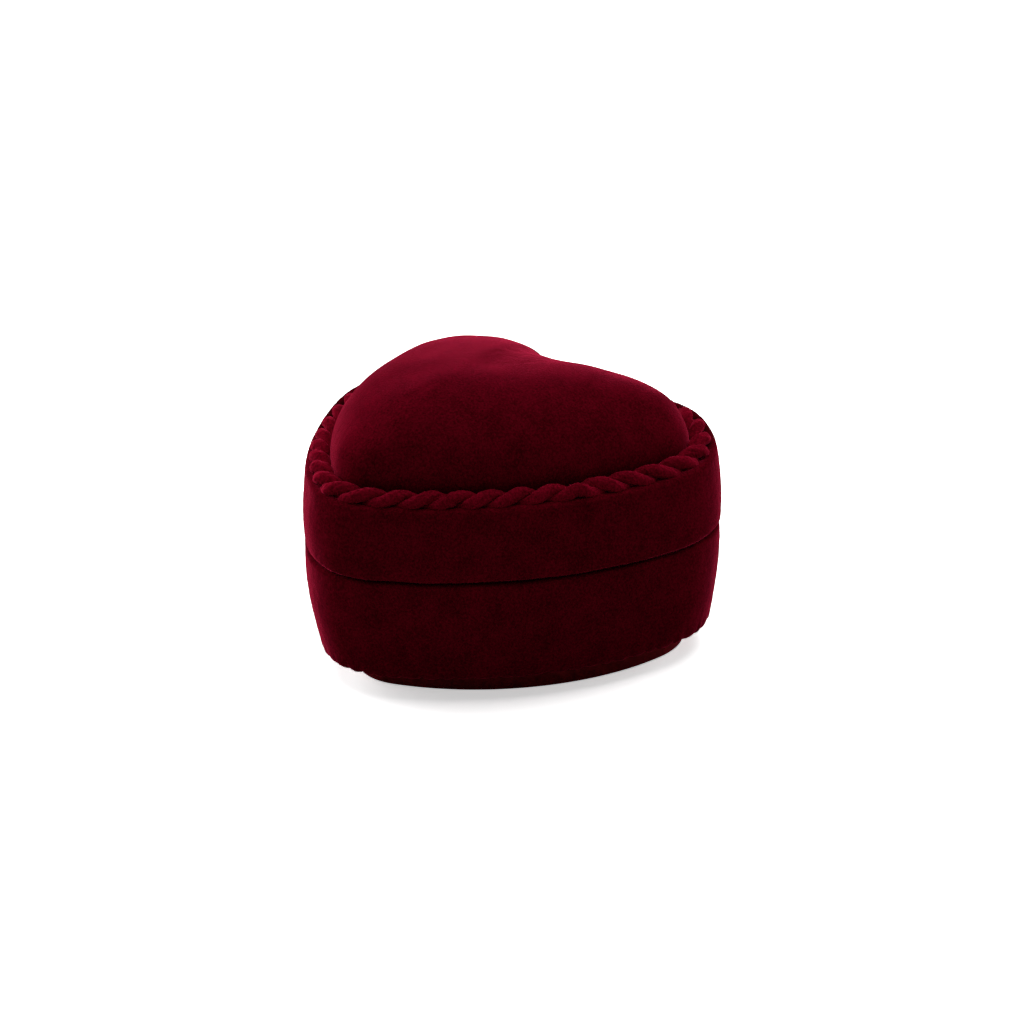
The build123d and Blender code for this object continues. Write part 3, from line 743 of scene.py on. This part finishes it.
# Lid wall velvet
# A second strip of the same velvet goes round the lid's wall. It is turned in over the rim,
# where the fold makes a full round lip, and rolled over the ledge, where its edge holds the cord.
LID_TUCK = 0.65
LID_CORNER = 0.8
LID_ROLL = 2.6
LID_ROLL_DROP = 0.3
LID_OFF_MIDDLE = (0.1, 0.1, 0.0)
CORD_SINK = 1.0
LID_RIM_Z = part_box("lid_wall_velvet")[0].z / MM
LEDGE_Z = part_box("crown_velvet")[0].z / MM
WALL_TOP_Z = LEDGE_Z + CORD_SINK
LEDGE_EDGE = 6.15
CEILING_Z = LEDGE_Z - INNER_WALL
TONGUE_GAP = 0.5
TONGUE_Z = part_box("lid_rivets")[0].z / MM - TONGUE_GAP
LID_POINTS = 10
LID_RISE = -0.4
LID_LIFTS = (2.6, 2.8)
LIFT_PLACES = ((-25.0, 1.0), (12.0, 27.5))
LIFT_REACHES = (14.0, 12.0)
LIP_FULL = 0.9
LIP_END = 2.0


def lid_inset(height, offset=0.0):
    """Inset of the lid's wall: a parabola through its rim, its middle and its top edge."""
    share = (np.asarray(height) - LID_RIM_Z) / (WALL_TOP_Z - LID_RIM_Z)
    rim_part = RIM_INSET * (1 - share) * (1 - 2 * share)
    top_part = LID_TUCK * share * (2 * share - 1)
    return rim_part + top_part + offset


def uneven_top(grid, rise, lifts):
    """Rise of the lid's upper edge, stretched higher at the left side and behind the right lobe.

    It is an even rise plus a bell-shaped lift at each place, and fades smoothly to the rim. Each
    lift is one height, or a height for each row.
    """
    share = np.clip((grid[..., 2] - LID_RIM_Z) / (WALL_TOP_Z - LID_RIM_Z), 0, 1)
    for place, reach, lift in zip(LIFT_PLACES, LIFT_REACHES, lifts):
        off = np.linalg.norm(grid[..., :2] - place, axis=-1)
        rise = rise + lift * np.exp(-((off / reach) ** 2))
    return rise * share**2 * (3 - 2 * share)


lid_heights = np.linspace(LID_RIM_Z, WALL_TOP_Z, LID_POINTS)[1:-1]
lid_side = rounded(
    [
        (RIM_WIDTH, LID_RIM_Z + TURN_IN, 0),
        (RIM_WIDTH, LID_RIM_Z, RIM_ROUND),
        (RIM_INSET, LID_RIM_Z, RIM_ROUND),
        *wall_corners(lid_inset, lid_heights),
        (LID_TUCK, WALL_TOP_Z, LID_CORNER),
        (LID_ROLL, WALL_TOP_Z, LID_ROLL_DROP / 2),
        (LID_ROLL + LID_ROLL_DROP, LEDGE_Z, LID_ROLL_DROP / 2),
        (LEDGE_EDGE, LEDGE_Z, 0),
    ],
    ROW_STEP,
)
lid_inner = rounded(
    [
        (LEDGE_EDGE, LEDGE_Z - VELVET, 0),
        (LID_TUCK + VELVET, LEDGE_Z - VELVET, 0),
        *wall_corners(lid_inset, lid_heights[lid_heights < LEDGE_Z - VELVET][::-1], VELVET),
        (RIM_INSET + VELVET, LID_RIM_Z + VELVET, 0),
        (INNER_WALL, LID_RIM_Z + VELVET, 0),
        (INNER_WALL, LID_RIM_Z + TURN_IN, 0),
    ],
    HIDDEN_STEP,
)
lid_profile = np.concatenate([lid_side, lid_inner])
lid_shown = np.zeros(len(lid_profile))
lid_shown[:len(lid_side)] = np.clip(2 - lid_side[:, 0] / LID_ROLL, 0, 1)
lid_grid = napped(carried(lid_profile), lid_shown, seed=21)
lid_grid += np.multiply.outer(lid_shown, LID_OFF_MIDDLE)[:, None]
# The raised edge stands up as a narrow lip outside the cord.
lip = np.clip((LIP_END - lid_profile[:, 0]) / (LIP_END - LIP_FULL), 0, 1)[:, None]
lid_grid[..., 2] += uneven_top(lid_grid, LID_RISE, np.multiply.outer(LID_LIFTS, lip))
lid_limit = np.minimum(lid_profile[:, 0], INNER_WALL)
trimmed_lid = carried(np.column_stack([lid_limit, lid_profile[:, 1]]))
beside_block = (np.abs(lid_grid[..., :1]) < SEAT_HALF) & (lid_grid[..., 1:2] > 0)
beside_block &= lid_grid[..., 2:] < CEILING_Z
lid_grid = np.where(beside_block, trimmed_lid, lid_grid)
lid_grid = notched(lid_grid, TONGUE_Z, NOTCH_HALF, above=True)
lid_velvet = surface("lid_wall_velvet_cover", lid_grid, rings=True)
lid_velvet.data.materials.append(BURGUNDY)
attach(lid_velvet, "lid")
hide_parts("lid_wall_velvet")


# Crown
# A soft foam pad lies over the cap's crown. Its velvet is stretched over it and tucked down
# behind the cord, so that the pad swells to a full heart-shaped cushion.
CROWN_INSET = 4.2
CROWN_POWER = 0.325
CROWN_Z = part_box("crown_velvet")[1].z / MM
CROWN_FOAM_SIDE = 1.4
SHELL_INSET = CROWN_INSET + VELVET + CROWN_FOAM_SIDE
SHELL_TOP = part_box("lid_shell")[1].z / MM
CROWN_SLACK = 0.3
CROWN_SWELL = 0.4
CROWN_COARSE = 8
CROWN_SMOOTHING = 60
CROWN_SETTLED = 0.75
CROWN_EDGE_NAP = 0.4
CROWN_NAP_POWER = 0.2
CROWN_INSIDE_STEP = 2.0
DOME_POINTS = 4000


def dome_rows(inset, base, top, step):
    """Insets, heights and scales of a dome's rows, evenly stepped from its edge to its top.

    The height over the base is the rise times (1 - scale squared) to a power.
    """
    angle = np.linspace(0, np.pi / 2, DOME_POINTS)
    scale = np.cos(angle)
    height = base + (top - base) * np.sin(angle) ** (2 * CROWN_POWER)
    reach = LOBE_RADIUS + LOBE_SPACING / 2 - inset
    length = np.hypot(np.diff(scale) * reach, np.diff(height))
    length = np.concatenate([[0], np.cumsum(length)])
    even = np.linspace(0, length[-1], max(3, round(length[-1] / step)))[:-1]
    return np.interp(even, length, scale), np.interp(even, length, height)


def dome(inset, base, top, step):
    """Grid of a heart dome from its edge to near its top."""
    scale, height = dome_rows(inset, base, top, step)
    return carried(np.column_stack([np.full(len(height), inset), height]), scale)


def crown_swell(grid):
    """The swelling of the crown's outside, worked out on every eighth point and spread between.

    Between two worked-out rows or columns the movement changes evenly. It is then smoothed by
    averaging each point with its neighbours, and towards the top it settles to its row's mean.
    """
    rows = np.unique(np.append(np.arange(0, len(grid), CROWN_COARSE), len(grid) - 1))
    columns = np.arange(0, COLUMNS, CROWN_COARSE)
    coarse = grid[rows][:, columns]
    across = len(columns)
    points = np.concatenate([coarse.reshape(-1, 3), coarse[-1:].mean(1)])
    row = np.arange(len(rows) - 1)[:, None] * across
    ring = np.arange(across)
    ahead = (ring + 1) % across
    quads = np.stack(np.broadcast_arrays(row + ring, row + ahead, row + across + ahead,
                                         row + across + ring), -1)
    top = (len(rows) - 1) * across
    fan = np.column_stack([top + ring, top + ahead, np.full(across, len(points) - 1)])
    bottom = [ring[::-1].tolist()]
    held = np.arange(len(points)) < across
    faces = quads.reshape(-1, 4).tolist() + fan.tolist() + bottom
    moved = swelled("crown_cloth", points, faces, held, CROWN_SWELL)[:-1]
    moved = moved.reshape(len(rows), across, 3)
    every = np.arange(COLUMNS)
    wide = np.stack([
        np.stack([np.interp(every, columns, line[:, axis], period=COLUMNS) for line in moved])
        for axis in range(3)
    ], -1)
    share = np.interp(np.arange(len(grid)), rows, np.arange(len(rows)))
    low = np.minimum(share.astype(int), len(rows) - 2)
    part = (share - low)[:, None, None]
    spread = wide[low] * (1 - part) + wide[low + 1] * part
    for _ in range(CROWN_SMOOTHING):
        spread = (np.roll(spread, 1, 1) + 2 * spread + np.roll(spread, -1, 1)) / 4
        spread[1:-1] = (spread[:-2] + 2 * spread[1:-1] + spread[2:]) / 4
    girth = np.linalg.norm(np.roll(grid, -1, axis=1) - grid, axis=2).sum(1)
    own = np.clip(girth / girth[0] / CROWN_SETTLED, 0, 1)[:, None, None] ** 2
    return spread * own + spread.mean(1, keepdims=True) * (1 - own)


outside = dome(CROWN_INSET, LEDGE_Z, CROWN_Z - CROWN_SLACK, ROW_STEP)
outside = outside + crown_swell(outside)
crown_shown = np.linspace(CROWN_EDGE_NAP, 1, len(outside)) ** CROWN_NAP_POWER
outside = napped(outside, crown_shown, seed=31)
inside = dome(SHELL_INSET, CEILING_Z, SHELL_TOP, CROWN_INSIDE_STEP)
inside = inside[inside[:, 0, 2] > LEDGE_Z]
crown = surface("crown_cushion", np.concatenate([inside[::-1], outside]), poles=True)
crown.data.materials.append(BURGUNDY)
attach(crown, "lid")
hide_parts("crown_velvet", "crown_foam")


# Cord
# Two velvet plies are twisted into a cord and glued round the ledge, so that it covers both
# tucked edges. Its ends butt in the cleft.
CORD_RADIUS = 1.65
CORD_INSET = 2.85
CORD_TWISTS = 20
CORD_GAP = 0.6
CORD_LAY_TURN = 0.695
CORD_TURN_EASE = 0.5
CORD_TURN_UP = 1.2
CORD_UNEVEN = 0.2
CORD_WAVES = 5
CORD_SUNK = 0.45
CORD_RISE = -0.15
CORD_LIFTS = (1.0, 1.6)
PLY_RADIUS = 0.92
PLY_SIDES = 32
PLY_PILE = 0.045
CORD_Z = LEDGE_Z + CORD_RADIUS - CORD_SUNK
# Painted light: the plies are the wall's velvet, but both colours are set about twice as light,
# for the light the beads catch on their upturned tops.
CORD_DEEP_WITH_PAINTED_LIGHT = (0.088, 0.0009, 0.0052, 1)
CORD_LIT_WITH_PAINTED_LIGHT = (0.235, 0.0025, 0.0155, 1)
THREAD_SHARE = 0.35


def cord_ply(name, phase, seed):
    """One ply: a tube round a helix about the cord's line, flattened where the plies press.

    The helix stands off the line by the cord's radius less the ply's. It rises to the right
    seen from outside, up to the place where the hand-rolled lay turns over. Across the ply a
    point is its radius times (cosine, sine), held back to the plane between the plies.
    """
    line = heart_outline(CORD_INSET)[0]
    from_cleft = np.hypot(line[:, 0], line[:, 1] - LOBE_Y - LOBE_RADIUS)
    line = np.roll(line, -int(np.argmin(from_cleft)), 0)
    line = np.concatenate([line, line[:1]])
    total = run_along(line)[-1]
    count = round(total / GRID)
    along = np.linspace(CORD_GAP / 2, total - CORD_GAP / 2, count)
    centre = np.column_stack([points_at(along, line), np.full(count, CORD_Z)])
    centre[:, 2] += uneven_top(centre, CORD_RISE, CORD_LIFTS)
    forward = np.gradient(centre, axis=0)
    forward /= np.linalg.norm(forward, axis=1, keepdims=True)
    outward = np.column_stack([forward[:, 1], -forward[:, 0], np.zeros(count)])
    from_turn = np.hypot(along - CORD_LAY_TURN * total, CORD_TURN_EASE)
    turn = phase + CORD_TURN_UP - 2 * np.pi * CORD_TWISTS * from_turn / total
    turn += CORD_UNEVEN * np.sin(2 * np.pi * CORD_WAVES * along / total)
    lean = outward * np.cos(turn)[:, None]
    lean[:, 2] = np.sin(turn)
    standoff = CORD_RADIUS - PLY_RADIUS
    helix = centre + lean * standoff
    course = np.gradient(helix, axis=0)
    course /= np.linalg.norm(course, axis=1, keepdims=True)
    cross = np.cross(course, lean)
    angle = np.linspace(0, 2 * np.pi, PLY_SIDES, endpoint=False)
    pile = 1 + soft_noise((count, PLY_SIDES), 1, seed) * PLY_PILE
    out = np.maximum(PLY_RADIUS * np.cos(angle) * pile, -standoff)
    over = PLY_RADIUS * np.sin(angle) * pile
    grid = helix[:, None] + lean[:, None] * out[..., None] + cross[:, None] * over[..., None]
    return surface(name, grid[:, ::-1], poles=True)


def cord_velvet():
    """Ply velvet, painted lighter for light on its tops; fine threads wind round each ply."""
    material, tree, shader = new_material("cord_velvet")
    pile = add(tree, "ShaderNodeGroup", node_tree=VELVET_PILE, Deep=CORD_DEEP_WITH_PAINTED_LIGHT, Lit=CORD_LIT_WITH_PAINTED_LIGHT)
    cloth = add(tree, "ShaderNodeUVMap", uv_map="cloth_mm")
    threads = add(tree, "ShaderNodeTexWave", bands_direction="DIAGONAL", Scale=0.9)
    tune(threads, Distortion=2.0, Detail_Scale=2.0)
    height = add(tree, "ShaderNodeMath", operation="MULTIPLY_ADD")
    height.inputs[1].default_value = THREAD_SHARE
    bump = add(tree, "ShaderNodeBump", Strength=0.5, Distance=0.00012)
    wire(
        tree,
        (cloth.outputs["UV"], threads.inputs["Vector"]),
        (threads.outputs["Fac"], height.inputs[0]),
        (pile.outputs["Height"], height.inputs[2]),
        (pile.outputs["Color"], shader.inputs["Base Color"]),
        (height.outputs[0], bump.inputs["Height"]),
        (bump.outputs["Normal"], shader.inputs["Normal"]),
    )
    tune(shader, Roughness=0.95, Specular_IOR_Level=0.0)
    tune(shader, Sheen_Weight=1.0, Sheen_Roughness=0.28, Sheen_Tint=VELVET_SHEEN)
    return material


CORD_VELVET = cord_velvet()
for ply, start_turn, ply_seed in (("first", 0.0, 41), ("second", np.pi, 43)):
    cord = cord_ply(f"cord_{ply}_ply", start_turn, ply_seed)
    cord.data.materials.append(CORD_VELVET)
    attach(cord, "lid")
    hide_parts("cord_trim")


# Lid lining
# Satin over thin wadding lines the hollow of the crown, drawn into small pleats where it turns
# out on to the ceiling. A satin-faced card strip covers the lid's wall below it.
SATIN = 0.5
WADDING_INSET = 9.0
WALL_LINING = 0.6
LINING_EDGE = INNER_WALL + WALL_LINING
LINING_ROUND = 0.2
LINING_STEP = 0.4
LINING_BACK_STEP = 1.5
SATIN_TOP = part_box("lid_satin")[1].z / MM
PLEAT_WIDTH = 2.2
PLEAT_DEPTH = 0.3
PLEAT_REACH = 3.2
SEAT_CLEAR = 0.4
SEAT_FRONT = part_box("base_rivets")[0].y / MM - SEAT_CLEAR
SATIN_DEEP = (0.085, 0.0022, 0.012, 1)
SATIN_LIT = (0.150, 0.0050, 0.024, 1)


def satin():
    """Burgundy satin: long floats as a fine stretched noise, and slubs that dull its shine."""
    material, tree, shader = new_material("burgundy_satin")
    place = add(tree, "ShaderNodeTexCoord")
    slub = add(tree, "ShaderNodeTexNoise", Scale=900.0, Detail=4.0)
    floats = add(tree, "ShaderNodeTexNoise", Scale=6000.0, Detail=2.0)
    stretch = add(tree, "ShaderNodeMapping", Scale=(1, 0.15, 1))
    tone = ramp(tree, low=0.3, high=0.7, dark=SATIN_DEEP, light=SATIN_LIT)
    gloss = add(tree, "ShaderNodeMapRange", To_Min=0.38, To_Max=0.56)
    bump = add(tree, "ShaderNodeBump", Strength=0.12, Distance=0.00004)
    wire(
        tree,
        (place.outputs["Object"], slub.inputs["Vector"]),
        (place.outputs["Object"], stretch.inputs["Vector"]),
        (stretch.outputs["Vector"], floats.inputs["Vector"]),
        (slub.outputs["Fac"], tone.inputs[0]),
        (slub.outputs["Fac"], gloss.inputs["Value"]),
        (tone.outputs["Color"], shader.inputs["Base Color"]),
        (gloss.outputs["Result"], shader.inputs["Roughness"]),
        (floats.outputs["Fac"], bump.inputs["Height"]),
        (bump.outputs["Normal"], shader.inputs["Normal"]),
    )
    tune(shader, Specular_IOR_Level=0.22, Anisotropic=0.5)
    tune(shader, Sheen_Weight=0.35, Sheen_Tint=VELVET_SHEEN)
    return material


def pressed_back(grid):
    """The lining folded back from the hinge block: points beside it stay in front of it."""
    beside = (np.abs(grid[..., 0]) < SEAT_HALF) & (grid[..., 1] > SEAT_FRONT)
    grid[..., 1] = np.where(beside, SEAT_FRONT, grid[..., 1])
    return grid


flange_low = CEILING_Z - SATIN
flange = rounded(
    [
        (LINING_EDGE, CEILING_Z, 0),
        (LINING_EDGE, flange_low, LINING_ROUND),
        (WADDING_INSET + SATIN, flange_low, 0),
    ],
    LINING_STEP,
)
lining_out = dome(WADDING_INSET, CEILING_Z, SATIN_TOP, LINING_BACK_STEP)
lining_in = dome(WADDING_INSET + SATIN, CEILING_Z, SATIN_TOP - SATIN, LINING_STEP)
lining_grid = np.concatenate([lining_out[::-1], carried(flange), lining_in])
pleat = (tucks(PLEAT_WIDTH, seed=9) - 0.5) * PLEAT_DEPTH
from_edge = run_along(lining_grid[:, 0])
edge_at = from_edge[len(lining_out) + len(flange) - 1]
pleated = np.exp(-(((from_edge - edge_at) / PLEAT_REACH) ** 2))
pleated[:len(lining_out) + 2] = 0
lining_grid = lining_grid + normals(lining_grid) * (pleated[:, None] * pleat)[..., None]
lining = surface("crown_lining", pressed_back(lining_grid), poles=True)
BURGUNDY_SATIN = satin()
lining.data.materials.append(BURGUNDY_SATIN)
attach(lining, "lid")
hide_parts("lid_satin", "lid_wadding")
finish_nodes(BURGUNDY_SATIN, "lid_wall_lining")


# Hinge
# The two leaves are stamped from brass-plated strip and riveted to the blocks. A steel pin
# joins their knuckles, and a bent spring strip makes the lid snap open and shut.
BRASS_DARK = (0.42, 0.27, 0.09, 1)
BRASS_LIGHT = (0.74, 0.54, 0.23, 1)
STEEL_DARK = (0.34, 0.34, 0.35, 1)
STEEL_LIGHT = (0.60, 0.60, 0.61, 1)


def stamped_metal(name, dark, light):
    """Stamped strip: rolling lines along it, duller where it was handled."""
    material, tree, shader = new_material(name)
    place = add(tree, "ShaderNodeTexCoord")
    stretch = add(tree, "ShaderNodeMapping", Scale=(0.05, 1, 1))
    lines = add(tree, "ShaderNodeTexNoise", Scale=9000.0, Detail=3.0)
    handled = add(tree, "ShaderNodeTexNoise", Scale=700.0, Detail=4.0)
    tone = ramp(tree, low=0.3, high=0.7, dark=dark, light=light)
    dull = add(tree, "ShaderNodeMapRange", To_Min=0.2, To_Max=0.5)
    bump = add(tree, "ShaderNodeBump", Strength=0.15, Distance=0.00002)
    wire(
        tree,
        (place.outputs["Object"], stretch.inputs["Vector"]),
        (stretch.outputs["Vector"], lines.inputs["Vector"]),
        (place.outputs["Object"], handled.inputs["Vector"]),
        (handled.outputs["Fac"], tone.inputs[0]),
        (handled.outputs["Fac"], dull.inputs["Value"]),
        (tone.outputs["Color"], shader.inputs["Base Color"]),
        (dull.outputs["Result"], shader.inputs["Roughness"]),
        (lines.outputs["Fac"], bump.inputs["Height"]),
        (bump.outputs["Normal"], shader.inputs["Normal"]),
    )
    tune(shader, Metallic=1.0)
    return material


PLATED_BRASS = stamped_metal("plated_brass", BRASS_DARK, BRASS_LIGHT)
BRIGHT_STEEL = stamped_metal("bright_steel", STEEL_DARK, STEEL_LIGHT)
finish_nodes(PLATED_BRASS, "hinge_leaf_base", "hinge_leaf_lid")
finish_nodes(BRIGHT_STEEL, "hinge_pin", "snap_spring", "base_rivets", "lid_rivets")


# Studio
# A white sweep under soft overhead light from behind, with a low light from the left and a
# weaker one from behind on the right. The camera looks down a little at the heart's right side.
FLOOR_SIZE = 6.0
FLOOR_COLOUR = (0.6, 0.6, 0.6, 1)
FLOOR_SEEN = (1.9, 1.9, 1.9, 1)
FLOOR_LIFT = 0.53
WHITE = (1, 1, 1, 1)
WORLD_LIGHT = 0.06
KEY_STRENGTH = 1.95
KEY_FROM = (-0.22, 0.3, 1.0)
KEY_ANGLE = 70.0
SIDE_STRENGTH = 4.3
SIDE_FROM = (-0.95, -0.04, 0.09)
SIDE_ANGLE = 46.0
RIGHT_STRENGTH = 1.75
RIGHT_FROM = (0.15, 0.98, 0.08)
RIGHT_ANGLE = 40.0
AIM = (0.485, 5.38, 17.65)
AZIMUTH = 46.07
ELEVATION = 21.42
DISTANCE = 600.5
ROLL = -1.46
FIELD_OF_VIEW = 14.0


def seen_directly(tree):
    """One where the surface is seen by the camera, in a reflection or through glass."""
    path = add(tree, "ShaderNodeLightPath")
    first = add(tree, "ShaderNodeMath", operation="MAXIMUM")
    both = add(tree, "ShaderNodeMath", operation="MAXIMUM")
    wire(
        tree,
        (path.outputs["Is Camera Ray"], first.inputs[0]),
        (path.outputs["Is Glossy Ray"], first.inputs[1]),
        (first.outputs[0], both.inputs[0]),
        (path.outputs["Is Transmission Ray"], both.inputs[1]),
    )
    return both.outputs[0]


def white_floor():
    """A large flat floor of matt white, lifted to the white of the backdrop where it is seen."""
    edge = FLOOR_SIZE / 2
    mesh = bpy.data.meshes.new("floor")
    corners = [(-edge, -edge, 0), (edge, -edge, 0), (edge, edge, 0), (-edge, edge, 0)]
    mesh.from_pydata(corners, [], [(0, 1, 2, 3)])
    floor = placed("floor", mesh)
    material, tree, shader = new_material("white_floor")
    tune(shader, Roughness=1.0, Specular_IOR_Level=0.0, Emission_Color=WHITE)
    tone = add(tree, "ShaderNodeMix", data_type="RGBA", A=FLOOR_COLOUR, B=FLOOR_SEEN)
    lift = add(tree, "ShaderNodeMath", operation="MULTIPLY")
    lift.inputs[1].default_value = FLOOR_LIFT
    seen = seen_directly(tree)
    wire(
        tree,
        (seen, tone.inputs["Factor"]),
        (tone.outputs["Result"], shader.inputs["Base Color"]),
        (seen, lift.inputs[0]),
        (lift.outputs[0], shader.inputs["Emission Strength"]),
    )
    mesh.materials.append(material)


def white_world():
    """Dim white light from all round, seen as plain white."""
    world = bpy.data.worlds.new("studio")
    bpy.context.scene.world = world
    world.use_nodes = True
    tree = world.node_tree
    background = tree.nodes["Background"]
    tune(background, Color=WHITE)
    strength = add(tree, "ShaderNodeMapRange", To_Min=WORLD_LIGHT, To_Max=1.0)
    wire(
        tree,
        (seen_directly(tree), strength.inputs["Value"]),
        (strength.outputs["Result"], background.inputs["Strength"]),
    )


def soft_light(name, source, strength, angle):
    """A broad distant light that shines from a direction."""
    light = bpy.data.lights.new(name, "SUN")
    light.energy = strength
    light.angle = np.radians(angle)
    lamp = placed(name, light)
    lamp.rotation_euler = Vector(source).to_track_quat("Z", "Y").to_euler()


def photo_camera():
    """The camera: it stands off from its aim by azimuth and elevation, and leans by its roll."""
    azimuth, elevation, roll = np.radians([AZIMUTH, ELEVATION, ROLL])
    back = Vector((np.sin(azimuth) * np.cos(elevation), -np.cos(azimuth) * np.cos(elevation),
                   np.sin(elevation)))
    level = Vector((np.cos(azimuth), np.sin(azimuth), 0))
    upright = back.cross(level)
    right = level * np.cos(roll) + upright * np.sin(roll)
    up = upright * np.cos(roll) - level * np.sin(roll)
    data = bpy.data.cameras.new("camera")
    data.sensor_fit = "HORIZONTAL"
    data.angle = np.radians(FIELD_OF_VIEW)
    data.clip_start = 0.01
    camera = placed("camera", data)
    place = Matrix((right, up, back)).transposed().to_4x4()
    place.translation = (Vector(AIM) + back * DISTANCE) * MM
    camera.matrix_world = place
    bpy.context.scene.camera = camera


white_floor()
white_world()
soft_light("overhead_light", KEY_FROM, KEY_STRENGTH, KEY_ANGLE)
soft_light("side_light", SIDE_FROM, SIDE_STRENGTH, SIDE_ANGLE)
soft_light("right_light", RIGHT_FROM, RIGHT_STRENGTH, RIGHT_ANGLE)
photo_camera()
bpy.context.scene.view_settings.view_transform = "Standard"
